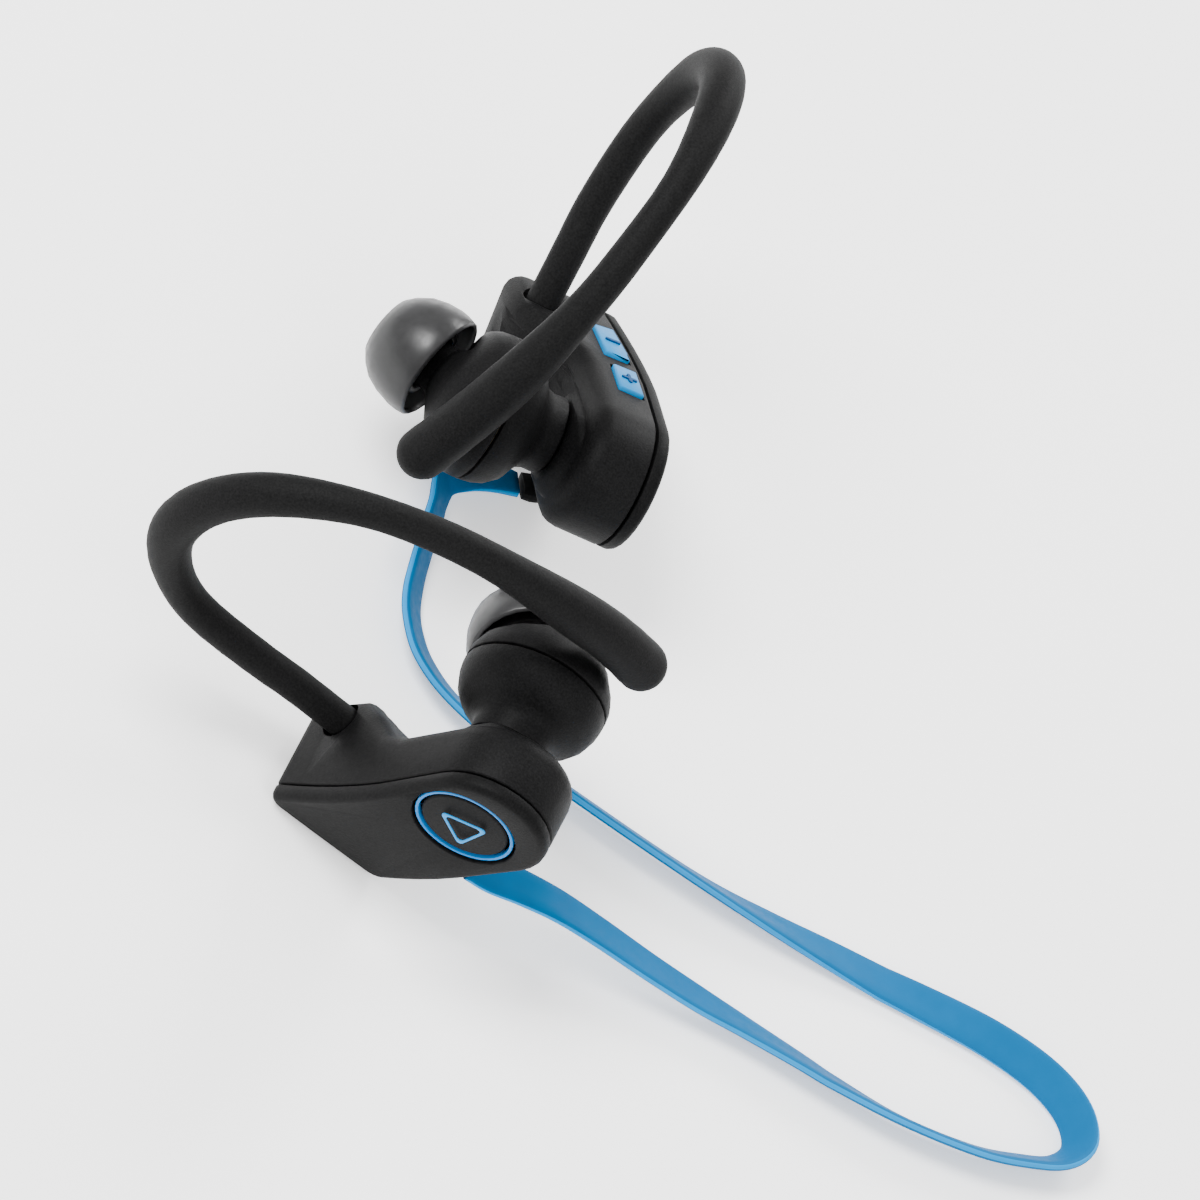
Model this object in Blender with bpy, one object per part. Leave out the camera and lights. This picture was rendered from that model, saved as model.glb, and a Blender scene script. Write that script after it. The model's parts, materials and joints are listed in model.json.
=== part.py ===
"""Ear-hook sport earphones joined by a flat cord.

Two mirror-image earphones stand on a level surface with their cord lying between them.
Each earphone is drawn in its own frame, in millimetres: x runs from the hook boss towards
the round end, y up towards the hook, z outward through the flat cover.  The centre of the
round disc on the cover is the origin.  The right earphone is the mirror image in z.
"""
import math

import bmesh
import bpy
from mathutils import Matrix, Vector

MM = 0.001
GAP = 0.3

# ---- placement of the two earphones on the surface (columns are the local x, y, z axes) ----
LEFT_AXES = ((0.69292, -0.69202, 0.20243),
             (0.00601, -0.27521, -0.96137),
             (0.72099, 0.66736, -0.18654))
RIGHT_AXES = ((0.40394, -0.0629, -0.91262),
              (-0.89195, 0.19441, -0.4082),
              (0.2031, 0.9789, 0.02243))
LEFT_ORIGIN = (17.26, -39.75, 19.28)
RIGHT_ORIGIN = (7.56, 14.18, 14.61)

# ---- housing outline: circles (g, h, radius) in the frame turned along the long axis ----
LONG_TURN = math.radians(16.5)
CORNERS = ((1.9, -0.45, 6.75), (-22.9, 3.8, 1.4), (-17.4, -4.9, 2.1))
ARC_STEPS = (15, 4, 4)
EDGE_STEPS = (8, 4, 7)
WALL = 1.2
PARTING = -1.5
LIP_DEPTH = -2.4
EDGE_ROUND = 0.8
SHELL_DEPTH = 8.4
BOSS_RISE = 6.2
BOSS_START, BOSS_END = -8.5, -18.0
TAPER_START = -6.5
TAPER_DROP = 2.7
NECK_SEAM = 9.9
NECK_R = 3.95
SPIGOT_R = 3.2
DISC_HOLE_R = 5.45

# ---- pod, nozzle and tip ----
POD_Z = -17.0
POD_R = 7.5
POD_SEAM = 16.85
TIP_DIR = Vector((-0.56, -0.11, -0.82)).normalized()
TIP_R = 5.8

# ---- hook: centre line points from the boss over the ear to the free end ----
HOOK_LINE = ((-18.7, -1.7, -11.5), (-20.4, 1.2, -11.4), (-22.7, 5.1, -11.3),
             (-25.4, 9.2, -11.1), (-28.6, 18.0, -10.3), (-26.4, 27.4, -9.8), (-20.6, 33.0, -10.1), (-13.0, 34.6, -11.2), (-4.9, 31.9, -12.9),
             (0.6, 26.6, -14.8), (4.6, 20.2, -16.6), (7.5, 11.5, -19.0), (8.8, 3.6, -21.4),
             (8.6, -6.6, -24.1))
HOOK_RADII = ((0.0, 1.75), (0.22, 1.9), (0.36, 2.5), (0.46, 2.3), (0.60, 1.75), (0.70, 1.85),
              (0.85, 2.6), (1.0, 2.75))
HOOK_RINGS = 38
HOOK_SIDES = 12
WIRE_R = 0.45
HOOK_BORE_R = 0.78
BORE_SHARE = 0.80

# ---- keys on the right side wall: corners (g, z) ----
KEY_DOWN = ((-17.6, -6.2), (-18.3, -3.9), (-13.2, -3.1), (-11.7, -2.9), (-11.5, -5.6))
KEY_UP = ((-9.0, -5.2), (-9.2, -2.6), (-3.6, -2.45), (-3.6, -5.1))

# ---- cord boots: round through the wall, flat where the cord goes in ----
BOOT_AT = (-9.0, -4.6)
BOOT_HOLE_R = 1.75
BOOT_OUT = 7.4
BOOT_END = 8.8
BOOT_BEND_R = 1.9

# ---- charging socket under its flap ----
PORT_G = -1.8
PORT_Z = -5.5

# ---- the cord: a flat ribbon; route points in millimetres with the roll in degrees ----
CORD_WIDTH = 4.0
CORD_THICK = 0.9
CORD_RINGS = 66
ROUTE = ((-0.82, 14.15, 2.06, 22.8), (-3.0, 13.0, 1.9, 10), (-5.2, 11.6, 1.5, -12),
         (-6.44, 9.4, 1.4, -36), (-5.94, 7.0, 0, -48), (-5.14, 5.0, 0, -52),
         (-4.44, 2.8, 0, -53), (-3.54, 0.2, 0, -53), (-2.44, -2.9, 0, -51),
         (-0.94, -6.2, 0, -46), (0.96, -8.6, 0, -42), (3.76, -10.7, 0, -39),
         (8.16, -12.1, 0, -41), (14.56, -12.3, 0, -45), (25.76, -10.8, 0, -45),
         (37.76, -8.7, 0, -43), (45.96, -6.3, 0, -28), (54.06, -3.4, 0, -8), (62.06, -0.7, 0, 8),
         (69.56, 1.4, 0, 23), (75.76, 2.0, 0, 34), (80.26, 0.8, 0, 44), (82.76, -2.0, 0, 50),
         (82.26, -5.3, 0, 50), (79.56, -8.2, 0, 49), (75.16, -11.5, 0, 50),
         (67.76, -14.9, 0, 49), (59.76, -17.0, 1.45, 39), (51.16, -18.9, 1.5, 28),
         (45.46, -20.7, 2.0, 18), (39.76, -22.6, 2.9, 14), (33.76, -24.7, 4.2, 9),
         (29.16, -26.8, 5.5, 2), (25.36, -29.1, 6.6, -6), (22.36, -31.2, 7.5, -13),
         (20.02, -32.34, 8.24, -17.7))

COLOURS = {
    "shell": (0.035, 0.035, 0.037, 1.0),
    "cover": (0.028, 0.028, 0.030, 1.0),
    "rubber": (0.022, 0.022, 0.023, 1.0),
    "silicone": (0.16, 0.16, 0.165, 1.0),
    "blue": (0.02, 0.26, 0.60, 1.0),
    "key_blue": (0.09, 0.45, 0.80, 1.0),
    "metal": (0.55, 0.55, 0.56, 1.0),
    "board": (0.02, 0.16, 0.07, 1.0),
    "cell": (0.35, 0.36, 0.38, 1.0),
    "membrane": (0.60, 0.55, 0.42, 1.0),
}


def clear_scene():
    for obj in list(bpy.data.objects):
        bpy.data.objects.remove(obj, do_unlink=True)


def material(name, colour, rough=0.6, metallic=0.0):
    mat = bpy.data.materials.new(name)
    mat.use_nodes = True
    shader = mat.node_tree.nodes["Principled BSDF"]
    shader.inputs["Base Color"].default_value = COLOURS[colour]
    shader.inputs["Roughness"].default_value = rough
    shader.inputs["Metallic"].default_value = metallic
    return mat


class Side:
    """One earphone: its name prefix, its hand and the empty that places it."""

    def __init__(self, prefix, hand, axes, origin):
        self.prefix = prefix
        self.hand = hand
        rot = Matrix(axes).to_4x4()
        rot.translation = Vector(origin) * MM
        quat = rot.to_quaternion()
        self.empty = bpy.data.objects.new(prefix + "_placement", None)
        self.empty.rotation_mode = "QUATERNION"
        self.empty.rotation_quaternion = quat
        self.empty.location = rot.translation
        bpy.context.scene.collection.objects.link(self.empty)

    def point(self, p):
        return Vector((p[0], p[1], p[2] * self.hand)) * MM


def add_object(side, name, bm, colour, rough=0.6, metallic=0.0, pivot=(0, 0, 0), smooth=True):
    """Turn a bmesh drawn in the left-hand local frame (mm) into a placed object."""
    origin = side.point(pivot)
    for vert in bm.verts:
        vert.co = side.point(vert.co) - origin
    bmesh.ops.recalc_face_normals(bm, faces=bm.faces)
    if bm.calc_volume(signed=True) < 0:
        bmesh.ops.reverse_faces(bm, faces=bm.faces)
    mesh = bpy.data.meshes.new(side.prefix + "_" + name)
    bm.to_mesh(mesh)
    bm.free()
    if smooth:
        mesh.shade_smooth()
        mesh.set_sharp_from_angle(angle=math.radians(35))
    obj = bpy.data.objects.new(side.prefix + "_" + name, mesh)
    obj.location = origin
    obj.parent = side.empty
    if colour:
        obj.data.materials.append(material(obj.name, colour, rough, metallic))
    bpy.context.scene.collection.objects.link(obj)
    return obj


def cut(obj, cutter):
    """Subtract a hidden cutter with an exact Boolean."""
    cutter.hide_render = True
    cutter.display_type = "WIRE"
    mod = obj.modifiers.new("cut_" + cutter.name, "BOOLEAN")
    mod.operation = "DIFFERENCE"
    mod.solver = "EXACT"
    mod.object = cutter


def loft(rings, closed=False, cap_start=False, cap_end=False):
    """Skin a list of equally long rings; closed joins the last ring to the first."""
    bm = bmesh.new()
    rows = [[bm.verts.new(p) for p in ring] for ring in rings]
    count = len(rows[0])
    pairs = list(zip(rows[:-1], rows[1:]))
    if closed:
        pairs.append((rows[-1], rows[0]))
    for low, high in pairs:
        for i in range(count):
            j = (i + 1) % count
            bm.faces.new((low[i], low[j], high[j], high[i]))
    for wanted, row in ((cap_start, rows[0]), (cap_end, rows[-1])):
        if wanted:
            bm.faces.new(row)
    return bm


def revolve(profile, centre, axis, sides=40, closed=True):
    """Turn (radius, height) pairs about an axis; a zero radius closes the end with a cap."""
    axis = Vector(axis).normalized()
    first = axis.orthogonal().normalized()
    second = axis.cross(first)
    rings = []
    for radius, height in profile:
        ring = []
        for k in range(sides):
            ang = 2 * math.pi * k / sides
            spoke = first * math.cos(ang) + second * math.sin(ang)
            ring.append(Vector(centre) + axis * height + spoke * radius)
        rings.append(ring)
    if closed:
        return loft(rings, closed=True)
    return loft(rings, cap_start=True, cap_end=True)


def long_to_local(g, h):
    c, s = math.cos(LONG_TURN), math.sin(LONG_TURN)
    return g * c - h * s, g * s + h * c


def outline(inset):
    """Housing outline as (g, h) points: the hull of the corner circles, moved in by inset."""
    circles = []
    for g, h, radius in CORNERS:
        small = max(radius - inset, 0.25)
        extra = max(0.0, inset - (radius - 0.25))
        if extra and g < 0:
            g += extra * (1.25 if h > 0 else 0.75)
            h -= extra * (1.0 if h > 0 else -1.0)
        circles.append((g, h, small))
    spans = []
    total = len(circles)
    for i in range(total):
        g0, h0, r0 = circles[i]
        g1, h1, r1 = circles[(i + 1) % total]
        dist = math.hypot(g1 - g0, h1 - h0)
        heading = math.atan2(h1 - h0, g1 - g0)
        spans.append(heading - math.acos((r0 - r1) / dist))
    points = []
    for i in range(total):
        g, h, radius = circles[i]
        start, end = spans[i - 1], spans[i]
        while end < start:
            end += 2 * math.pi
        arc = [start + (end - start) * k / ARC_STEPS[i] for k in range(ARC_STEPS[i] + 1)]
        points += [(g + radius * math.cos(t), h + radius * math.sin(t)) for t in arc]
        ng, nh, nr = circles[(i + 1) % total]
        a = points[-1]
        b = (ng + nr * math.cos(spans[i]), nh + nr * math.sin(spans[i]))
        for k in range(1, EDGE_STEPS[i]):
            f = k / EDGE_STEPS[i]
            points.append((a[0] + (b[0] - a[0]) * f, a[1] + (b[1] - a[1]) * f))
    return points


BASE_OUTLINE = outline(0.0)


def face_drop(g):
    """The cover falls away gently from the disc towards the boss end."""
    return TAPER_DROP * (max(0.0, TAPER_START - g) / 17.8) ** 1.6


def top_wall(g):
    """Height of the straight wall on the hook side."""
    return 6.3 - 1.1 * (CORNERS[0][0] - g) / (CORNERS[0][0] - CORNERS[1][0])


def outline_ring(inset, depth):
    """Outline ring in local millimetres; depth is a number or a function of (g, h)."""
    ring = []
    for g, h in outline(inset):
        z = depth(g, h) if callable(depth) else depth - face_drop(g)
        x, y = long_to_local(g, h)
        ring.append(Vector((x, y, z)))
    return ring


def circle_ring(radius, depth):
    """Circle about the disc axis whose points face the outline points."""
    ring = []
    for g, h in BASE_OUTLINE:
        x, y = long_to_local(g, h)
        size = math.hypot(x, y)
        ring.append(Vector((x * radius / size, y * radius / size, depth)))
    return ring


def blend_ring(ring_a, ring_b, share, depth):
    ring = []
    for a, b in zip(ring_a, ring_b):
        p = a.lerp(b, share)
        ring.append(Vector((p.x, p.y, depth(p.x, p.y))))
    return ring


def smooth(t):
    t = min(1.0, max(0.0, t))
    return t * t * (3 - 2 * t)


def head_side_depth(g, h):
    """Depth of the head-side surface: flat, rising to the hook boss."""
    return -(SHELL_DEPTH + BOSS_RISE * smooth((BOSS_START - g) / (BOSS_START - BOSS_END)))


def head_side_local(x, y):
    c, s = math.cos(LONG_TURN), math.sin(LONG_TURN)
    depth = head_side_depth(x * c + y * s, -x * s + y * c)
    lift = smooth((6.4 - math.hypot(x, y)) / 2.2)
    return depth - (NECK_SEAM - GAP - SHELL_DEPTH) * lift


def make_outer_cover(side):
    rings = [outline_ring(0.0, PARTING)]
    for k in range(0, 6):
        ang = math.pi / 2 * k / 5
        inset = EDGE_ROUND * (1 - math.cos(ang))
        rings.append(outline_ring(inset, EDGE_ROUND * (math.sin(ang) - 1)))
    rings.append(circle_ring(DISC_HOLE_R + 0.1, 0.0))
    rings.append(circle_ring(DISC_HOLE_R, -0.1))
    rings.append(circle_ring(DISC_HOLE_R, -1.4))
    rings.append(circle_ring(4.9, -1.4))
    rings.append(circle_ring(4.9, LIP_DEPTH))
    rings.append(outline_ring(WALL + GAP, LIP_DEPTH))
    rings.append(outline_ring(WALL + GAP, PARTING))
    return add_object(side, "outer_cover", loft(rings, closed=True), "cover", 0.62)


def make_inner_shell(side):
    top = PARTING - GAP
    fillet = 2.1
    rings = [outline_ring(0.12, top), outline_ring(0.0, top - 0.12)]
    rings.append(outline_ring(0.0, top - 1.6))
    for k in range(0, 6):
        ang = math.pi / 2 * k / 5
        inset = fillet * (1 - math.cos(ang))
        rise = fillet * (1 - math.sin(ang))
        rings.append(outline_ring(inset, lambda g, h, r=rise: head_side_depth(g, h) + r))
    edge = rings[-1]
    neck = circle_ring(NECK_R, 0.0)
    for share in (0.12, 0.25, 0.38, 0.5, 0.62, 0.74, 0.86, 1.0):
        rings.append(blend_ring(edge, neck, share, head_side_local))
    inside = -(SHELL_DEPTH - WALL)
    rings.append(circle_ring(SPIGOT_R + GAP, -(NECK_SEAM - GAP)))
    rings.append(circle_ring(SPIGOT_R + GAP, inside))
    rings.append(outline_ring(WALL, lambda g, h: inside))
    rings.append(outline_ring(WALL, top))
    shell = add_object(side, "inner_shell", loft(rings, closed=True), "shell", 0.66)
    root = HOOK_LINE
    way = (Vector(root[1]) - Vector(root[0])).normalized()
    hole = revolve([(2.1, -0.4), (2.1, 9.0)], root[0], way, 32, closed=False)
    cut(shell, add_object(side, "hook_hole_cutter", hole, None))
    return shell


def spline_point(points, t):
    """Catmull-Rom through the points; t runs from 0 to 1."""
    spans = len(points) - 1
    pos = min(max(t, 0.0), 1.0) * spans
    i = min(int(pos), spans - 1)
    f = pos - i
    p1, p2 = Vector(points[i]), Vector(points[i + 1])
    p0 = Vector(points[i - 1]) if i > 0 else p1 * 2 - p2
    p3 = Vector(points[i + 2]) if i + 2 <= spans else p2 * 2 - p1
    return 0.5 * ((2 * p1) + (p2 - p0) * f + (2 * p0 - 5 * p1 + 4 * p2 - p3) * f * f
                  + (3 * p1 - p0 - 3 * p2 + p3) * f * f * f)


def even_line(points, count):
    """Points at equal distances along the spline."""
    fine = [spline_point(points, k / 600) for k in range(601)]
    lengths = [0.0]
    for a, b in zip(fine[:-1], fine[1:]):
        lengths.append(lengths[-1] + (b - a).length)
    out = []
    j = 0
    for k in range(count):
        target = lengths[-1] * k / (count - 1)
        while j < 599 and lengths[j + 1] < target:
            j += 1
        f = (target - lengths[j]) / max(lengths[j + 1] - lengths[j], 1e-9)
        out.append(fine[j].lerp(fine[j + 1], min(max(f, 0.0), 1.0)))
    return out, lengths[-1]


def carried_frames(line):
    """Tangent and two side directions carried along a line without twisting."""
    frames = []
    normal = None
    for i, _ in enumerate(line):
        a = line[max(i - 1, 0)]
        b = line[min(i + 1, len(line) - 1)]
        tangent = (b - a).normalized()
        if normal is None:
            normal = tangent.orthogonal()
        normal = (normal - tangent * normal.dot(tangent)).normalized()
        frames.append((tangent, normal, tangent.cross(normal)))
    return frames


def interpolate(table, t):
    for (t0, v0), (t1, v1) in zip(table[:-1], table[1:]):
        if t <= t1:
            return v0 + (v1 - v0) * smooth((t - t0) / (t1 - t0))
    return table[-1][1]


def tube_ring(centre, frame, radius, sides):
    _, u, v = frame
    return [centre + (u * math.cos(2 * math.pi * k / sides) + v * math.sin(2 * math.pi * k / sides))
            * radius for k in range(sides)]


def make_hook(side):
    line, length = even_line(HOOK_LINE, HOOK_RINGS)
    frames = carried_frames(line)
    rings = []
    end_r = HOOK_RADII[-1][1]
    for i, centre in enumerate(line):
        t = i / (HOOK_RINGS - 1)
        if t * length > length - end_r:
            break
        rings.append(tube_ring(centre, frames[i], interpolate(HOOK_RADII, t), HOOK_SIDES))
    last = i - 1
    tangent, u, v = frames[last]
    base = line[last]
    for k in range(1, 6):
        ang = math.pi / 2 * k / 5.6
        rings.append(tube_ring(base + tangent * end_r * math.sin(ang), (tangent, u, v),
                               end_r * math.cos(ang), HOOK_SIDES))
    stop = int((HOOK_RINGS - 1) * BORE_SHARE)
    bore = [tube_ring(line[i], frames[i], HOOK_BORE_R, HOOK_SIDES) for i in range(0, stop, 1)]
    bm = loft(list(reversed(bore)) + rings, cap_start=True, cap_end=True)
    add_object(side, "ear_hook", bm, "rubber", 0.7)
    wire = [tube_ring(line[i], frames[i], WIRE_R, 8) for i in range(0, stop - 1)]
    add_object(side, "hook_wire", loft(wire, cap_start=True, cap_end=True), "metal", 0.35, 1.0)


def make_pod(side):
    seam = POD_SEAM + GAP
    rear = [(SPIGOT_R, 8.0), (SPIGOT_R, NECK_SEAM), (NECK_R, NECK_SEAM + 0.02), (NECK_R, 11.4),
            (NECK_R + 0.3, 12.2), (5.1, 12.9), (6.2, 13.5), (6.95, 14.5), (7.35, 15.7),
            (POD_R, POD_SEAM), (6.55, POD_SEAM), (6.35, 15.9), (5.7, 14.8), (4.9, 14.2),
            (2.3, 13.8), (2.1, 8.0)]
    add_object(side, "driver_pod", revolve(rear, (0, 0, 0), (0, 0, -1), 32), "shell", 0.6)
    outer = [(0.0, POD_R, seam, 0.0), (0.0, POD_R - 0.08, 18.3, 0.0), (0.0, 7.0, 19.4, 0.0),
             (0.05, 6.2, 20.4, 0.2), (0.2, 5.2, 21.1, 0.45), (0.5, 4.1, 21.5, 0.75)]
    rings = []
    for share, radius, height, lean in outer:
        rings.append(leaning_ring(radius, height, lean, share))
    for along, radius in ((5.6, 2.6), (8.7, 2.45), (9.1, 2.65), (9.7, 2.65), (10.3, 2.35)):
        rings.append(nozzle_ring(radius, along))
    for along, radius in ((10.3, 1.9), (4.0, 1.9)):
        rings.append(nozzle_ring(radius, along))
    rings.append(leaning_ring(3.3, 20.1, 0.5, 0.3))
    rings.append(leaning_ring(5.7, 18.9, 0.1, 0.0))
    rings.append(leaning_ring(6.55, 18.0, 0.0, 0.0))
    rings.append(leaning_ring(6.55, seam, 0.0, 0.0))
    add_object(side, "pod_cap", loft(rings, closed=True), "shell", 0.6)
    magnet = [(0.6, 14.2), (4.3, 14.2), (4.7, 14.7), (4.7, 16.1), (0.6, 16.1)]
    add_object(side, "driver_magnet", revolve(magnet, (0, 0, 0), (0, 0, -1), 24), "metal", 0.4, 1.0)
    cone = [(6.2, 16.6), (6.2, 17.1), (5.1, 17.25), (3.0, 17.8), (1.2, 18.05), (0.3, 18.1),
            (0.3, 17.9), (1.2, 17.8), (2.8, 17.5), (4.9, 16.9), (5.7, 16.6)]
    add_object(side, "diaphragm", revolve(cone, (0, 0, 0), (0, 0, -1), 24), "membrane", 0.5)
    mesh = revolve([(1.6, 9.5), (1.6, 10.0)], (0, 0, POD_Z), TIP_DIR, 28, closed=False)
    add_object(side, "nozzle_mesh", mesh, "metal", 0.4, 1.0)


def leaning_ring(radius, height, lean, share, sides=32):
    """Ring between the pod axis and the nozzle axis; lean turns it, share moves its centre."""
    pod_axis = Vector((0, 0, -1))
    axis = pod_axis.lerp(TIP_DIR, lean).normalized()
    first = axis.cross(Vector((0, 1, 0))).normalized()
    second = axis.cross(first)
    straight = Vector((0, 0, -height))
    tilted = Vector((0, 0, POD_Z)) + TIP_DIR * (height + POD_Z)
    centre = straight.lerp(tilted, share)
    return [centre + (first * math.cos(2 * math.pi * k / sides)
                      + second * math.sin(2 * math.pi * k / sides)) * radius for k in range(sides)]


def nozzle_ring(radius, along, sides=32):
    first = TIP_DIR.cross(Vector((0, 1, 0))).normalized()
    second = TIP_DIR.cross(first)
    centre = Vector((0, 0, POD_Z)) + TIP_DIR * along
    return [centre + (first * math.cos(2 * math.pi * k / sides)
                      + second * math.sin(2 * math.pi * k / sides)) * radius for k in range(sides)]


def make_ear_tip(side):
    outer = [(5.3, 5.9), (5.65, 6.15), (TIP_R, 7.0), (TIP_R, 7.9), (5.55, 9.4), (5.0, 10.9),
             (4.2, 12.0), (3.3, 12.8), (2.6, 13.0), (2.3, 12.9), (2.15, 12.6)]
    inner = [(2.15, 10.8), (3.15, 10.75), (3.15, 9.0), (2.95, 8.65), (2.95, 6.9), (3.6, 6.9),
             (3.6, 10.7), (4.0, 11.2), (4.7, 10.0), (5.1, 8.8), (5.3, 7.6), (5.2, 6.5)]
    pivot = Vector((0, 0, POD_Z)) + TIP_DIR * 9.0
    bm = revolve(outer + inner, (0, 0, POD_Z), TIP_DIR, 26)
    add_object(side, "ear_tip", bm, "silicone", 0.45, pivot=pivot)


def box(centre, size, turn=0.0):
    """Axis box in the long-axis frame: size along g, h and z."""
    bm = bmesh.new()
    bmesh.ops.create_cube(bm, size=1.0)
    for vert in bm.verts:
        g = centre[0] + vert.co.x * size[0]
        h = centre[1] + vert.co.y * size[1]
        x, y = long_to_local(g, h)
        vert.co = Vector((x, y, centre[2] + vert.co.z * size[2]))
    return bm


def bevelled_box(centre, size, width):
    bm = box(centre, size)
    bmesh.ops.bevel(bm, geom=bm.edges[:], offset=width, segments=2, affect="EDGES", profile=0.5)
    return bm


def make_board(side):
    bm = box((-4.25, -0.6, -4.0), (17.5, 7.4, 0.8))
    add_object(side, "circuit_board", bm, "board", 0.5, smooth=False)


def make_battery(side):
    bm = bevelled_box((-10.0, 0.6, -6.0), (10.0, 4.4, 1.9), 0.35)
    add_object(side, "battery", bm, "cell", 0.4, 0.6)


def make_disc(side, fixed):
    """Round disc with its ring and raised sign in the cover."""
    name = "badge_disc" if fixed else "button_cap"
    bm = revolve([(4.3, -0.25), (4.5, -0.4), (4.5, -1.5), (4.3, -1.6)], (0, 0, 0), (0, 0, 1), 36,
                 closed=False)
    add_object(side, name, bm, "cover", 0.5)
    ring = [(4.8, -0.2), (5.15, -0.2), (5.15, -1.1), (4.8, -1.1)]
    add_object(side, "badge_ring" if fixed else "button_ring",
               revolve(ring, (0, 0, 0), (0, 0, 1), 40), "blue", 0.4)
    add_object(side, "badge_sign" if fixed else "button_sign", play_sign(), "key_blue", 0.4)


def play_sign():
    """Raised outline triangle with rounded corners, standing on the disc."""
    rings = []
    for scale, z in ((2.75, 0.06), (2.75, 0.24), (2.0, 0.24), (2.0, 0.06)):
        ring = []
        for k in range(3):
            corner = math.radians(120 * k)
            cx, cy = scale * 0.78 * math.cos(corner), scale * 0.78 * math.sin(corner)
            for j in range(5):
                ang = corner + math.radians(-60 + 30 * j)
                ring.append(Vector((cx + 0.42 * math.cos(ang), cy + 0.42 * math.sin(ang), z)))
        rings.append(ring)
    return loft(rings, closed=True)


def middle(corners):
    count = len(corners)
    return sum(c[0] for c in corners) / count, sum(c[1] for c in corners) / count


def key_block(corners, low, high, grow=0.0):
    """Cornered block through the side wall; corners are (g, z), low and high count from it."""
    cg, cz = middle(corners)
    rings = []
    for h in (low, high):
        ring = []
        for g, z in corners:
            way = Vector((g - cg, z - cz))
            size = way.length
            way = way * ((size + grow * 1.35) / size)
            x, y = long_to_local(cg + way.x, top_wall(cg + way.x) + h)
            ring.append(Vector((x, y, cz + way.y)))
        rings.append(ring)
    return loft(rings, cap_start=True, cap_end=True)


def make_keys(side, shell):
    for name, corners in (("volume_down", KEY_DOWN), ("volume_up", KEY_UP)):
        hole = key_block(corners, -1.8, 1.5, GAP)
        cut(shell, add_object(side, name + "_cutter", hole, None, smooth=False))
        bm = key_block(corners, -1.1, 0.35)
        bmesh.ops.bevel(bm, geom=bm.edges[:], offset=0.18, segments=2, affect="EDGES", profile=0.5)
        cg, cz = middle(corners)
        x, y = long_to_local(cg, top_wall(cg))
        add_object(side, name + "_button", bm, "key_blue", 0.45, pivot=(x, y, cz))
        low = top_wall(cg) - 2.1
        bm = bevelled_box((cg, low, cz), (2.4, 0.9, 1.2), 0.1)
        add_object(side, name + "_switch", bm, "metal", 0.4, 0.8)


def make_microphone(side, shell):
    """Capsule behind a small sound hole in the bottom wall."""
    bm = bevelled_box((-15.0, -3.6, -5.2), (2.4, 1.6, 1.2), 0.15)
    add_object(side, "microphone", bm, "metal", 0.4, 0.8)
    x, y = long_to_local(-15.0, -4.0)
    way = Vector((*long_to_local(0.0, -1.0), 0.0))
    hole = revolve([(0.45, 0.0), (0.45, 4.0)], (x, y, -5.2), way, 12, closed=False)
    cut(shell, add_object(side, "sound_hole_cutter", hole, None))


def make_left_extras(side, shell):
    sw = bevelled_box((0.0, 0.0, -2.85), (3.2, 3.2, 0.9), 0.1)
    add_object(side, "button_switch", sw, "metal", 0.4, 0.8)
    hole = box((PORT_G, -6.7, PORT_Z), (8.6, 3.4, 3.0))
    cut(shell, add_object(side, "port_cutter", hole, None, smooth=False))
    flap = bevelled_box((PORT_G, -6.7, PORT_Z), (8.0, 0.8, 2.4), 0.15)
    x, y = long_to_local(PORT_G + 3.7, -6.7)
    add_object(side, "port_flap", flap, "rubber", 0.7, pivot=(x, y, PORT_Z))
    port = charge_port_mesh()
    add_object(side, "charge_port", port, "metal", 0.35, 1.0)


def charge_port_mesh():
    """Socket can with an open mouth towards the flap."""
    rings = []
    for half_g, half_z, h in ((3.7, 0.95, -2.6), (3.7, 0.95, -5.8),
                              (3.35, 0.65, -5.8), (3.35, 0.65, -3.0)):
        ring = []
        for sg, sz in ((-1, -1), (1, -1), (1, 1), (-1, 1)):
            x, y = long_to_local(PORT_G + sg * half_g, h)
            ring.append(Vector((x, y, PORT_Z - 0.25 + sz * half_z)))
        rings.append(ring)
    return loft(rings, cap_start=True, cap_end=True)


def stadium_ring(centre, wide, thin, half_width, half_thick):
    """Flat ring with round edges; equal halves make it a circle."""
    ring = []
    for turn in (0, 1):
        for k in range(6):
            ang = math.pi * (turn - 0.5) + math.pi * k / 5
            along = math.cos(ang) * half_thick + (half_width - half_thick) * (1 - 2 * turn)
            ring.append(centre + wide * along + thin * math.sin(ang) * half_thick)
    return ring


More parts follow.
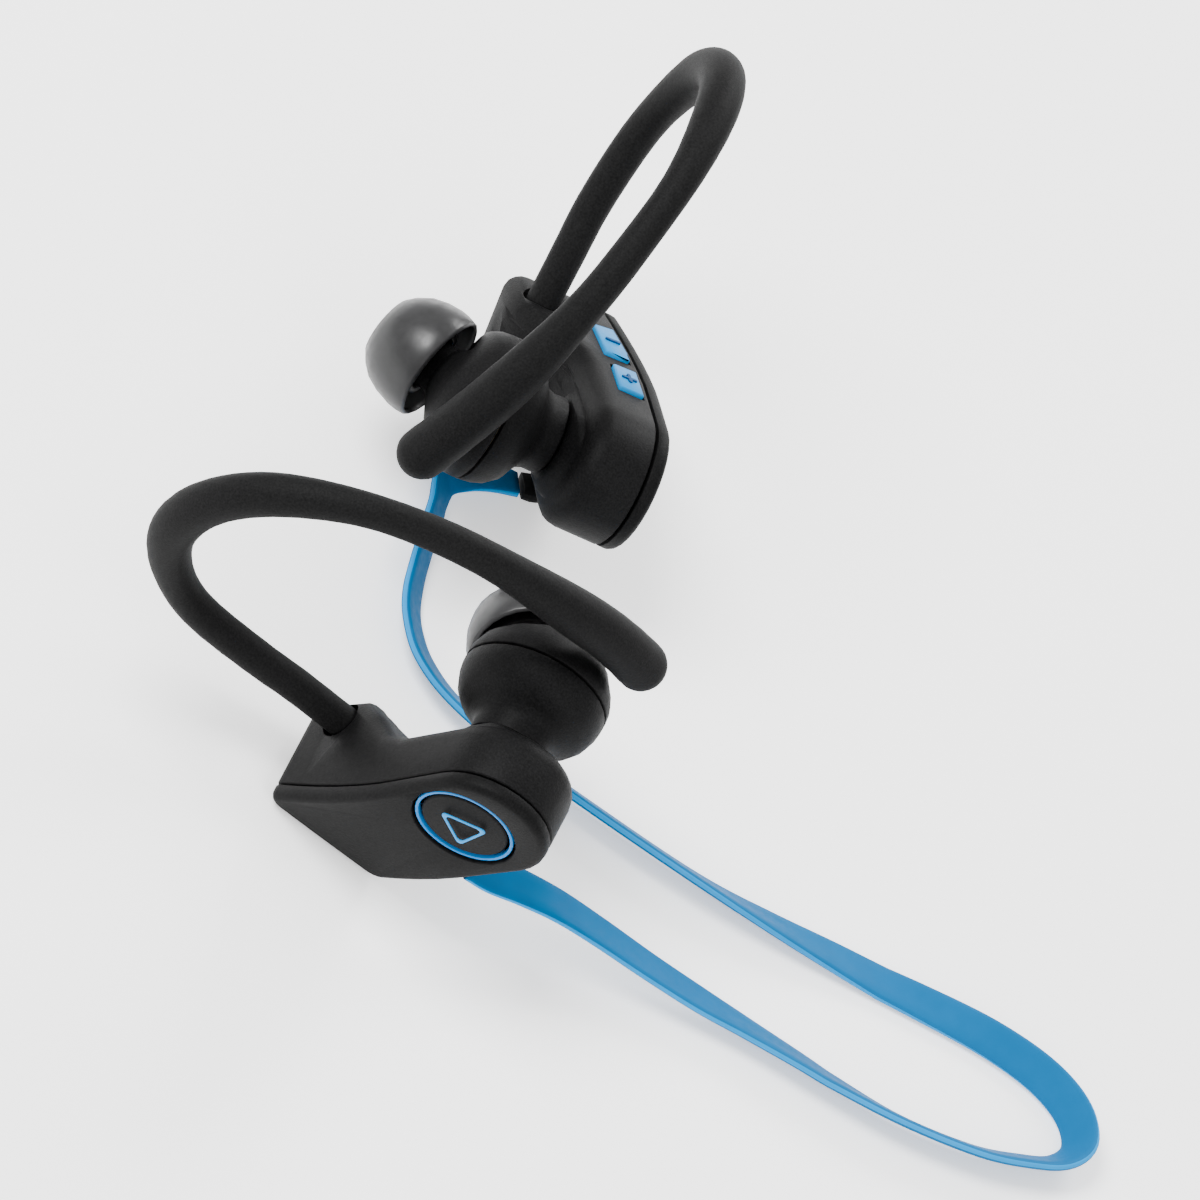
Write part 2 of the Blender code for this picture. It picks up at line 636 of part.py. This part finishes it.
def make_cord_boot(side, shell, bent):
    """Rubber boot round the cord: straight on the left, turned to the head side on the right."""
    g, z = BOOT_AT
    out = Vector((*long_to_local(0.0, -1.0), 0.0))
    along = Vector((*long_to_local(1.0, 0.0), 0.0))
    inward = Vector((0.0, 0.0, -1.0))
    foot = Vector((*long_to_local(g, 0.0), z))
    wide, thin = (along, inward) if bent else (inward, along)
    rings = []
    for h, radius in ((4.9, 1.85), (5.5, 1.85), (5.5, 1.45), (BOOT_OUT, 1.45), (BOOT_OUT, 2.2)):
        rings.append(stadium_ring(foot + out * h, wide, thin, radius, radius * 0.999))
    if bent:
        for k in range(1, 7):
            ang = math.radians(80) * k / 6
            centre = foot + out * (0.1 + BOOT_OUT + BOOT_BEND_R * math.sin(ang))
            centre += inward * BOOT_BEND_R * (1 - math.cos(ang))
            across = inward * math.cos(ang) - out * math.sin(ang)
            half = 2.0 - 1.2 * smooth(k / 5)
            rings.append(stadium_ring(centre, wide, across, 2.25, half))
        way = out * math.cos(ang) + inward * math.sin(ang)
        rings.append(stadium_ring(centre + way * 0.8, wide, across, 2.2, 0.7))
    else:
        for h, half_width, half_thick in ((7.6, 2.25, 1.9), (8.2, 2.25, 1.1), (BOOT_END, 2.2, 0.7)):
            rings.append(stadium_ring(foot + out * h, wide, thin, half_width, half_thick))
    add_object(side, "cord_boot", loft(rings, cap_start=True, cap_end=True), "rubber", 0.6)
    hole = revolve([(BOOT_HOLE_R, 5.7), (BOOT_HOLE_R, 8.0)], foot, out, 24, closed=False)
    cut(shell, add_object(side, "boot_hole_cutter", hole, None))


def route_point(points, t):
    """Point and roll of the cord at t, never lower than the surface lets it lie."""
    flat = spline_point([p[:3] for p in points], t)
    roll = math.radians(spline_point([(p[3], 0.0, 0.0) for p in points], t).x)
    lying = (CORD_WIDTH - CORD_THICK) / 2 * abs(math.sin(roll)) + CORD_THICK / 2 + 0.05
    flat.z = max(flat.z, lying)
    return flat, roll


def make_cord():
    fine = [route_point(ROUTE, k / 900) for k in range(901)]
    lengths = [0.0]
    for (a, _), (b, _) in zip(fine[:-1], fine[1:]):
        lengths.append(lengths[-1] + (b - a).length)
    line = []
    j = 0
    for k in range(CORD_RINGS):
        target = lengths[-1] * k / (CORD_RINGS - 1)
        while j < 899 and lengths[j + 1] < target:
            j += 1
        line.append(fine[j])
    line[-1] = fine[-1]
    rings = []
    for i, (centre, roll) in enumerate(line):
        before, after = line[max(i - 1, 0)][0], line[min(i + 1, CORD_RINGS - 1)][0]
        way = (after - before).normalized()
        level = Vector((0.0, 0.0, 1.0)).cross(way).normalized()
        upright = way.cross(level)
        wide = level * math.cos(roll) + upright * math.sin(roll)
        rings.append(stadium_ring(centre * MM, wide, way.cross(wide), CORD_WIDTH / 2 * MM,
                                  CORD_THICK / 2 * MM))
    bm = loft(rings, cap_start=True, cap_end=True)
    bmesh.ops.recalc_face_normals(bm, faces=bm.faces)
    mesh = bpy.data.meshes.new("cord")
    bm.to_mesh(mesh)
    bm.free()
    mesh.shade_smooth()
    mesh.set_sharp_from_angle(angle=math.radians(60))
    obj = bpy.data.objects.new("cord", mesh)
    obj.data.materials.append(material("cord", "blue", 0.5))
    bpy.context.scene.collection.objects.link(obj)


def main():
    clear_scene()
    left = Side("left", 1, LEFT_AXES, LEFT_ORIGIN)
    right = Side("right", -1, RIGHT_AXES, RIGHT_ORIGIN)
    for side in (left, right):
        make_outer_cover(side)
        shell = make_inner_shell(side)
        make_hook(side)
        make_pod(side)
        make_ear_tip(side)
        make_board(side)
        make_battery(side)
        make_disc(side, fixed=side.hand < 0)
        make_cord_boot(side, shell, bent=side.hand < 0)
        if side.hand > 0:
            make_left_extras(side, shell)
        else:
            make_keys(side, shell)
            make_microphone(side, shell)
    make_cord()


main()
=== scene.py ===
"""Looks of the ear-hook sport earphones: materials, the flat cord, key marks, camera and light."""
import json
import math

import bmesh
import bpy
from mathutils import Matrix, Vector

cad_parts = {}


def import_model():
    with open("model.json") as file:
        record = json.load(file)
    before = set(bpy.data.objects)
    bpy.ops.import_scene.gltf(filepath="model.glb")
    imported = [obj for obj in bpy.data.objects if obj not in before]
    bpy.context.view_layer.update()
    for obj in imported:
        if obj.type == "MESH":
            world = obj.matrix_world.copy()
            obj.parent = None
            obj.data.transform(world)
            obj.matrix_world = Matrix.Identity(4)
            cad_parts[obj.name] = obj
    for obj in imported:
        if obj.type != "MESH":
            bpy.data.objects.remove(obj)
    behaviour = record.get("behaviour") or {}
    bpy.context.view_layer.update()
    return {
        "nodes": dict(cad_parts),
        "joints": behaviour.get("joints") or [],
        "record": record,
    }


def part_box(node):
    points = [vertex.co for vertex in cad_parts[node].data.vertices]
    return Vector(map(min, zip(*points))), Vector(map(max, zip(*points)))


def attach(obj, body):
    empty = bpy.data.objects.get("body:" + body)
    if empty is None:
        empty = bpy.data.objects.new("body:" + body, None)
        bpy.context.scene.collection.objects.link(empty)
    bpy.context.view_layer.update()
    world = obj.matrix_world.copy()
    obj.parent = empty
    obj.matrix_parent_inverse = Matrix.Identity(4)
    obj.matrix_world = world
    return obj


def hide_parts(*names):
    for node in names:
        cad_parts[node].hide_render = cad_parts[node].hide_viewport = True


MM = 0.001
ROOT = "earphones"

# ---- camera: looks down at the two earphones and is rolled, with a long lens ----
VIEW_CENTRE = (0.01269, -0.02127, 0.03619)
VIEW_DISTANCE = 2.5
VIEW_ELEVATION = 47.55
VIEW_ROLL = 41.35
LENS = 783.75

# ---- the cord: a flat ribbon; route points in millimetres with the roll in degrees ----
CORD_WIDTH = 4.0
CORD_THICK = 0.9
CORD_RINGS = 300
SPLINE_STEPS = 1800
ROUTE = ((-0.82, 14.15, 2.06, 22.8), (-3.0, 13.0, 1.9, 10), (-5.2, 11.6, 1.5, -12),
         (-6.44, 9.4, 1.4, -36), (-5.94, 7.0, 0, -48), (-5.14, 5.0, 0, -52),
         (-4.44, 2.8, 0, -53), (-3.54, 0.2, 0, -53), (-2.44, -2.9, 0, -51),
         (-0.94, -6.2, 0, -46), (0.96, -8.6, 0, -42), (3.76, -10.7, 0, -39),
         (8.16, -12.1, 0, -41), (14.56, -12.3, 0, -45), (25.76, -10.8, 0, -45),
         (37.76, -8.7, 0, -43), (45.96, -6.3, 0, -28), (54.06, -3.4, 0, -8), (62.06, -0.7, 0, 8),
         (69.56, 1.4, 0, 23), (75.76, 2.0, 0, 34), (80.26, 0.8, 0, 44), (82.76, -2.0, 0, 50),
         (82.26, -5.3, 0, 50), (79.56, -8.2, 0, 49), (75.16, -11.5, 0, 50),
         (67.76, -14.9, 0, 49), (59.76, -17.0, 1.45, 39), (51.16, -18.9, 1.5, 28),
         (45.46, -20.7, 2.0, 18), (39.76, -22.6, 2.9, 14), (33.76, -24.7, 4.2, 9),
         (29.16, -26.8, 5.5, 2), (25.36, -29.1, 6.6, -6), (22.36, -31.2, 7.5, -13),
         (20.02, -32.34, 8.24, -17.7))

# ---- key marks, in millimetres ----
MARK_LENGTH = 1.7
MARK_WIDTH = 0.40
MARK_RISE = 0.06
MARK_ROOT = 0.15
CROSSBAR_RISE = 0.01

# ---- floor, light ----
FLOOR_HALF = 3.0
FLOOR_GAP = 0.0002
LIGHT_AIM = (0.01, 0.0, 0.02)
WORLD_STRENGTH = 1.25

# ---- edges of the hard parts ----
WELD_DISTANCE = 0.000002
EDGE_SOFTNESS = 0.00008
EDGE_ANGLE = 35


class Paint:
    """A material under construction: its nodes, its links and its Principled shader."""

    def __init__(self, name):
        self.mat = bpy.data.materials.new(name)
        self.mat.use_nodes = True
        self.nodes = self.mat.node_tree.nodes
        self.links = self.mat.node_tree.links
        self.shader = self.nodes["Principled BSDF"]
        self.coords = self.nodes.new("ShaderNodeTexCoord").outputs["Object"]

    def set(self, **values):
        for name, value in values.items():
            self.shader.inputs[name.replace("_", " ")].default_value = value
        return self

    def noise(self, scale, detail=3.0, rough=0.55):
        node = self.nodes.new("ShaderNodeTexNoise")
        node.inputs["Scale"].default_value = scale
        node.inputs["Detail"].default_value = detail
        node.inputs["Roughness"].default_value = rough
        self.links.new(self.coords, node.inputs["Vector"])
        return node.outputs["Fac"]

    def spread(self, factor, low, high):
        """Map the middle of a noise to the range low..high."""
        node = self.nodes.new("ShaderNodeMapRange")
        node.inputs["From Min"].default_value = 0.3
        node.inputs["From Max"].default_value = 0.7
        node.inputs["To Min"].default_value = low
        node.inputs["To Max"].default_value = high
        self.links.new(factor, node.inputs["Value"])
        return node.outputs["Result"]

    def mix(self, factor, first, second):
        node = self.nodes.new("ShaderNodeMix")
        node.data_type = "RGBA"
        self.links.new(factor, node.inputs["Factor"])
        for socket, value in ((node.inputs[6], first), (node.inputs[7], second)):
            if isinstance(value, bpy.types.NodeSocket):
                self.links.new(value, socket)
            else:
                socket.default_value = (*value, 1.0)
        return node.outputs[2]

    def colour(self, output):
        self.links.new(output, self.shader.inputs["Base Color"])
        return self

    def roughness(self, output):
        self.links.new(output, self.shader.inputs["Roughness"])
        return self

    def bump(self, height, strength, distance):
        node = self.nodes.new("ShaderNodeBump")
        node.inputs["Strength"].default_value = strength
        node.inputs["Distance"].default_value = distance
        self.links.new(height, node.inputs["Height"])
        self.links.new(node.outputs["Normal"], self.shader.inputs["Normal"])
        return self


def moulded_plastic(name, dark, light, rough, grain):
    """Black housing plastic with a fine spark-eroded grain."""
    paint = Paint(name)
    grains = paint.noise(5200.0, 2.0, 0.6)
    paint.colour(paint.mix(paint.spread(grains, 0.0, 1.0), dark, light))
    paint.roughness(paint.spread(paint.noise(6000.0), rough - 0.04, rough + 0.04))
    paint.bump(grains, grain, 0.00006)
    paint.set(Specular_IOR_Level=0.06)
    return paint.mat


def soft_rubber(name, dark, light):
    """Soft-touch rubber: matt, finely speckled, with no gloss."""
    paint = Paint(name)
    grains = paint.noise(4800.0, 2.0, 0.6)
    paint.colour(paint.mix(paint.spread(grains, 0.0, 1.0), dark, light))
    paint.roughness(paint.spread(paint.noise(6000.0), 0.60, 0.70))
    paint.bump(grains, 0.35, 0.00006)
    paint.set(Specular_IOR_Level=0.07)
    return paint.mat


def silicone(name):
    """Smoky translucent silicone of the ear tips."""
    paint = Paint(name)
    paint.colour(paint.mix(paint.noise(500.0), (0.014, 0.014, 0.0145), (0.028, 0.028, 0.029)))
    paint.roughness(paint.spread(paint.noise(1500.0), 0.30, 0.42))
    paint.bump(paint.noise(5000.0), 0.08, 0.00003)
    paint.set(Transmission_Weight=0.35, IOR=1.41, Specular_IOR_Level=0.35)
    return paint.mat


def cord_rubber(name, dark, light, rough):
    """Smooth moulded jacket, faintly mottled, whose shine takes the jacket's own blue."""
    paint = Paint(name)
    paint.colour(paint.mix(paint.noise(350.0), dark, light))
    paint.roughness(paint.spread(paint.noise(1400.0), rough - 0.05, rough + 0.07))
    paint.bump(paint.noise(5000.0, 3.0), 0.12, 0.00003)
    paint.set(Specular_IOR_Level=0.06, Specular_Tint=(0.02, 0.45, 0.9, 1.0))
    return paint.mat


def blue_plastic(name, dark, light, rough, coat):
    """Coloured plastic of the ring, the sign, the keys and their marks."""
    paint = Paint(name)
    paint.colour(paint.mix(paint.noise(1200.0), dark, light))
    paint.roughness(paint.spread(paint.noise(3000.0), rough - 0.04, rough + 0.06))
    paint.bump(paint.noise(9000.0, 3.0), 0.10, 0.00003)
    paint.set(Specular_IOR_Level=0.12, Specular_Tint=(0.05, 0.5, 0.95, 1.0))
    paint.set(Coat_Weight=coat, Coat_Roughness=0.15)
    return paint.mat


def bare_metal(name, dark, light, rough):
    """Metal with an uneven, finely brushed surface."""
    paint = Paint(name)
    paint.colour(paint.mix(paint.noise(2500.0), dark, light))
    paint.roughness(paint.spread(paint.noise(4000.0), rough - 0.06, rough + 0.1))
    paint.bump(paint.noise(12000.0, 2.0), 0.12, 0.00002)
    paint.set(Metallic=1.0)
    return paint.mat


def circuit_board(name):
    """Green solder mask over copper tracks."""
    paint = Paint(name)
    tracks = paint.nodes.new("ShaderNodeTexBrick")
    tracks.inputs["Scale"].default_value = 900.0
    tracks.inputs["Mortar Size"].default_value = 0.06
    paint.links.new(paint.coords, tracks.inputs["Vector"])
    paint.colour(paint.mix(tracks.outputs["Fac"], (0.012, 0.13, 0.05), (0.03, 0.24, 0.10)))
    paint.roughness(paint.spread(paint.noise(2000.0), 0.35, 0.5))
    paint.bump(tracks.outputs["Fac"], 0.3, 0.00005)
    return paint.mat


def make_materials():
    """One material for each slot of the record."""
    return {
        "shell_black": moulded_plastic("shell_black", (0.0014, 0.0014, 0.0015),
                                       (0.0062, 0.0062, 0.0064), 0.54, 0.45),
        "cover_black": moulded_plastic("cover_black", (0.0010, 0.0010, 0.0011),
                                       (0.0048, 0.0048, 0.0049), 0.56, 0.50),
        "rubber_black": soft_rubber("rubber_black", (0.0018, 0.0018, 0.0019),
                                    (0.0065, 0.0065, 0.0066)),
        "silicone_grey": silicone("silicone_grey"),
        "cord_blue": cord_rubber("cord_blue", (0.0, 0.082, 0.21), (0.0, 0.100, 0.255), 0.55),
        "ring_blue": blue_plastic("ring_blue", (0.0, 0.12, 0.36), (0.0, 0.15, 0.44), 0.28, 0.15),
        "sign_blue": blue_plastic("sign_blue", (0.002, 0.20, 0.50), (0.003, 0.24, 0.58),
                                  0.30, 0.1),
        "key_blue": blue_plastic("key_blue", (0.0, 0.160, 0.39), (0.0, 0.185, 0.44), 0.42, 0.0),
        "metal": bare_metal("metal", (0.45, 0.45, 0.46), (0.62, 0.62, 0.63), 0.34),
        "cell_foil": bare_metal("cell_foil", (0.50, 0.51, 0.53), (0.66, 0.67, 0.69), 0.42),
        "board_green": circuit_board("board_green"),
        "membrane": cord_rubber("membrane", (0.42, 0.37, 0.26), (0.55, 0.49, 0.36), 0.35),
    }


def dress_frame(frame, paints):
    """Give every CAD node its material, smooth shading and softened edges."""
    slots = {part["node"]: part["material_slot"] for part in frame["record"]["subparts"]}
    for name, obj in frame["nodes"].items():
        paint = paints[slots[name]]
        if not obj.material_slots:
            obj.data.materials.append(paint)
        for holder in obj.material_slots:
            holder.link = "OBJECT"
            holder.material = paint
        obj.data.shade_smooth()
        weld = obj.modifiers.new("weld", "WELD")
        weld.merge_threshold = WELD_DISTANCE
        if name.endswith("ear_hook"):
            smoother = obj.modifiers.new("round", "SUBSURF")
            smoother.levels = smoother.render_levels = 1
            continue
        bevel = obj.modifiers.new("soft_edges", "BEVEL")
        bevel.width = EDGE_SOFTNESS
        bevel.segments = 2
        bevel.limit_method = "ANGLE"
        bevel.angle_limit = math.radians(EDGE_ANGLE)
        bevel.harden_normals = True


def spline_point(points, t):
    """Catmull-Rom through the points; t runs from 0 to 1."""
    spans = len(points) - 1
    pos = min(max(t, 0.0), 1.0) * spans
    i = min(int(pos), spans - 1)
    f = pos - i
    p1, p2 = Vector(points[i]), Vector(points[i + 1])
    p0 = Vector(points[i - 1]) if i > 0 else p1 * 2 - p2
    p3 = Vector(points[i + 2]) if i + 2 <= spans else p2 * 2 - p1
    return 0.5 * ((2 * p1) + (p2 - p0) * f + (2 * p0 - 5 * p1 + 4 * p2 - p3) * f * f
                  + (3 * p1 - p0 - 3 * p2 + p3) * f * f * f)


def cord_line():
    """Evenly spaced centre points with their roll, never lower than the ribbon can lie."""
    fine = []
    for k in range(SPLINE_STEPS + 1):
        t = k / SPLINE_STEPS
        centre = spline_point([p[:3] for p in ROUTE], t)
        roll = math.radians(spline_point([(p[3], 0.0, 0.0) for p in ROUTE], t).x)
        lying = (CORD_WIDTH - CORD_THICK) / 2 * abs(math.sin(roll)) + CORD_THICK / 2 + 0.05
        centre.z = max(centre.z, lying)
        fine.append((centre * MM, roll))
    lengths = [0.0]
    for (a, _), (b, _) in zip(fine[:-1], fine[1:]):
        lengths.append(lengths[-1] + (b - a).length)
    line = []
    j = 0
    for k in range(CORD_RINGS):
        target = lengths[-1] * k / (CORD_RINGS - 1)
        while j < SPLINE_STEPS - 1 and lengths[j + 1] < target:
            j += 1
        f = (target - lengths[j]) / (lengths[j + 1] - lengths[j])
        (a, roll_a), (b, roll_b) = fine[j], fine[j + 1]
        line.append((a.lerp(b, f), roll_a + (roll_b - roll_a) * f))
    return line


def flat_ring(centre, wide, thin):
    """Section of the ribbon: round edges and faces that sink a little in the middle."""
    half_width, half_thick = CORD_WIDTH / 2 * MM, CORD_THICK / 2 * MM
    reach = half_width - half_thick
    ring = []
    for turn in (1, -1):
        for k in range(7):
            ang = math.pi * (k / 6 - 0.5)
            along = turn * (reach + math.cos(ang) * half_thick)
            ring.append(centre + wide * along + thin * turn * math.sin(ang) * half_thick)
        for share in (0.5, 0.0, -0.5):
            sink = 1.0 - 0.10 * (1.0 - share * share)
            ring.append(centre + wide * turn * reach * share + thin * turn * half_thick * sink)
    return ring


def make_object(name, maker, *paints):
    """Turn a finished bmesh into an object of the scene."""
    mesh = bpy.data.meshes.new(name)
    maker.to_mesh(mesh)
    maker.free()
    for paint in paints:
        mesh.materials.append(paint)
    obj = bpy.data.objects.new(name, mesh)
    bpy.context.scene.collection.objects.link(obj)
    return obj


def make_cord(paints):
    """The ribbon's mesh, which takes the place of the CAD cord and is attached to the root body.
    """
    line = cord_line()
    maker = bmesh.new()
    rows = []
    for i, (centre, roll) in enumerate(line):
        way = (line[min(i + 1, len(line) - 1)][0] - line[max(i - 1, 0)][0]).normalized()
        level = Vector((0.0, 0.0, 1.0)).cross(way).normalized()
        wide = level * math.cos(roll) + way.cross(level) * math.sin(roll)
        rows.append([maker.verts.new(p) for p in flat_ring(centre, wide, way.cross(wide))])
    count = len(rows[0])
    for low, high in zip(rows[:-1], rows[1:]):
        for i in range(count):
            j = (i + 1) % count
            face = maker.faces.new((low[i], low[j], high[j], high[i]))
            # Faces on the outer curve of both rounded rims take the second, lighter blue: a
            # painted highlight along the cord's edges.
            face.material_index = 1 if i % 10 in (2, 3) else 0
            face.smooth = True
    maker.faces.new(rows[0])
    maker.faces.new(rows[-1])
    bmesh.ops.recalc_face_normals(maker, faces=maker.faces)
    # Lighter blue for the rims of the cord: painted highlight, not a colour of the jacket.
    painted_edge_highlight = cord_rubber("cord_edge_painted_highlight", (0.0, 0.19, 0.46), (0.0, 0.23, 0.54), 0.5)
    obj = make_object("flat_cord", maker, paints["cord_blue"], painted_edge_highlight)
    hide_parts("cord")
    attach(obj, ROOT)


def centre_of(node):
    """Middle of a node's box at rest."""
    low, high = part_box(node)
    return (Vector(low) + Vector(high)) / 2


def rounded_bar(maker, frame_matrix, length, width, low, high):
    """Bar with round ends, lying in the x-y plane of the given frame."""
    rings = []
    for inset, height in ((0.0, low), (0.0, high - 0.02), (0.04, high)):
        radius = width / 2 - inset
        ring = []
        for turn in (1, -1):
            for k in range(7):
                ang = math.pi * (k / 6 - 0.5)
                x = turn * (length / 2 - width / 2 + math.cos(ang) * radius)
                point = Vector((x, turn * math.sin(ang) * radius, height)) * MM
                ring.append(maker.verts.new(frame_matrix @ point))
        rings.append(ring)
    for below, above in zip(rings[:-1], rings[1:]):
        for i in range(len(below)):
            j = (i + 1) % len(below)
            maker.faces.new((below[i], below[j], above[j], above[i]))
    maker.faces.new(rings[0])
    maker.faces.new(rings[-1])


def make_key_marks(frame, paint):
    """Raised minus and plus on the volume keys."""
    axes = {joint["name"]: Vector(joint["axis"]) for joint in frame["joints"]}
    outward = -axes["right_volume_down_press"].normalized()
    down = centre_of("right_volume_down_button")
    up = centre_of("right_volume_up_button")
    along = up - down
    along = (along - outward * along.dot(outward)).normalized()
    for name, centre, bars in (("down", down, (0,)), ("up", up, (0, 90))):
        spin = Matrix((along, outward.cross(along), outward)).transposed().to_4x4()
        spin.translation = centre
        obj_node = frame["nodes"]["right_volume_" + name + "_button"]
        top = max((spin.inverted() @ v.co).z for v in obj_node.data.vertices) / MM
        maker = bmesh.new()
        for turn in bars:
            place = spin @ Matrix.Rotation(math.radians(turn + 90), 4, "Z")
            rise = MARK_RISE + (CROSSBAR_RISE if turn else 0.0)
            rounded_bar(maker, place, MARK_LENGTH, MARK_WIDTH, top - MARK_ROOT, top + rise)
        bmesh.ops.recalc_face_normals(maker, faces=maker.faces)
        obj = make_object("volume_" + name + "_mark", maker, paint)
        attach(obj, "right_volume_" + name)


def make_camera():
    """The camera, made active."""
    camera = bpy.data.cameras.new("camera")
    camera.lens = LENS
    camera.sensor_width = 36.0
    camera.clip_end = 20.0
    obj = bpy.data.objects.new("camera", camera)
    elevation = math.radians(VIEW_ELEVATION)
    back = Vector((0.0, -math.cos(elevation), math.sin(elevation)))
    turn = Matrix.Rotation(math.pi / 2 - elevation, 4, "X")
    obj.matrix_world = (Matrix.Translation(Vector(VIEW_CENTRE) + back * VIEW_DISTANCE)
                        @ turn @ Matrix.Rotation(math.radians(VIEW_ROLL), 4, "Z"))
    bpy.context.scene.collection.objects.link(obj)
    bpy.context.scene.camera = obj


def area_light(name, place, size, power):
    """A round soft light that faces the object."""
    light = bpy.data.lights.new(name, "AREA")
    light.shape = "DISK"
    light.size = size
    light.energy = power
    obj = bpy.data.objects.new(name, light)
    obj.location = place
    obj.rotation_euler = (Vector(LIGHT_AIM) - Vector(place)).to_track_quat("-Z", "Y").to_euler()
    bpy.context.scene.collection.objects.link(obj)


def make_stage():
    """Pale floor, soft studio lights and an even surrounding light."""
    maker = bmesh.new()
    bmesh.ops.create_grid(maker, x_segments=2, y_segments=2, size=FLOOR_HALF)
    paint = Paint("floor").set(Base_Color=(0.95, 0.95, 0.95, 1.0), Roughness=0.9)
    paint.set(Emission_Color=(1.0, 1.0, 1.0, 1.0), Emission_Strength=0.55)
    floor = make_object("floor", maker, paint.mat)
    floor.location = (0.0, 0.0, -FLOOR_GAP)
    area_light("key", (-0.35, -0.15, 0.60), 0.35, 9.0)
    area_light("fill", (0.45, -0.45, 0.45), 0.50, 2.5)
    area_light("rim", (0.05, 0.60, 0.35), 0.30, 5.0)
    world = bpy.data.worlds.new("studio")
    world.use_nodes = True
    background = world.node_tree.nodes["Background"]
    background.inputs["Color"].default_value = (1.0, 1.0, 1.0, 1.0)
    background.inputs["Strength"].default_value = WORLD_STRENGTH
    bpy.context.scene.world = world


def main():
    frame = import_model()
    make_camera()
    paints = make_materials()
    make_cord(paints)
    dress_frame(frame, paints)
    mark_paint = blue_plastic("mark_blue", (0.0, 0.03, 0.10), (0.0, 0.04, 0.13), 0.5, 0.0)
    make_key_marks(frame, mark_paint)
    make_stage()


main()
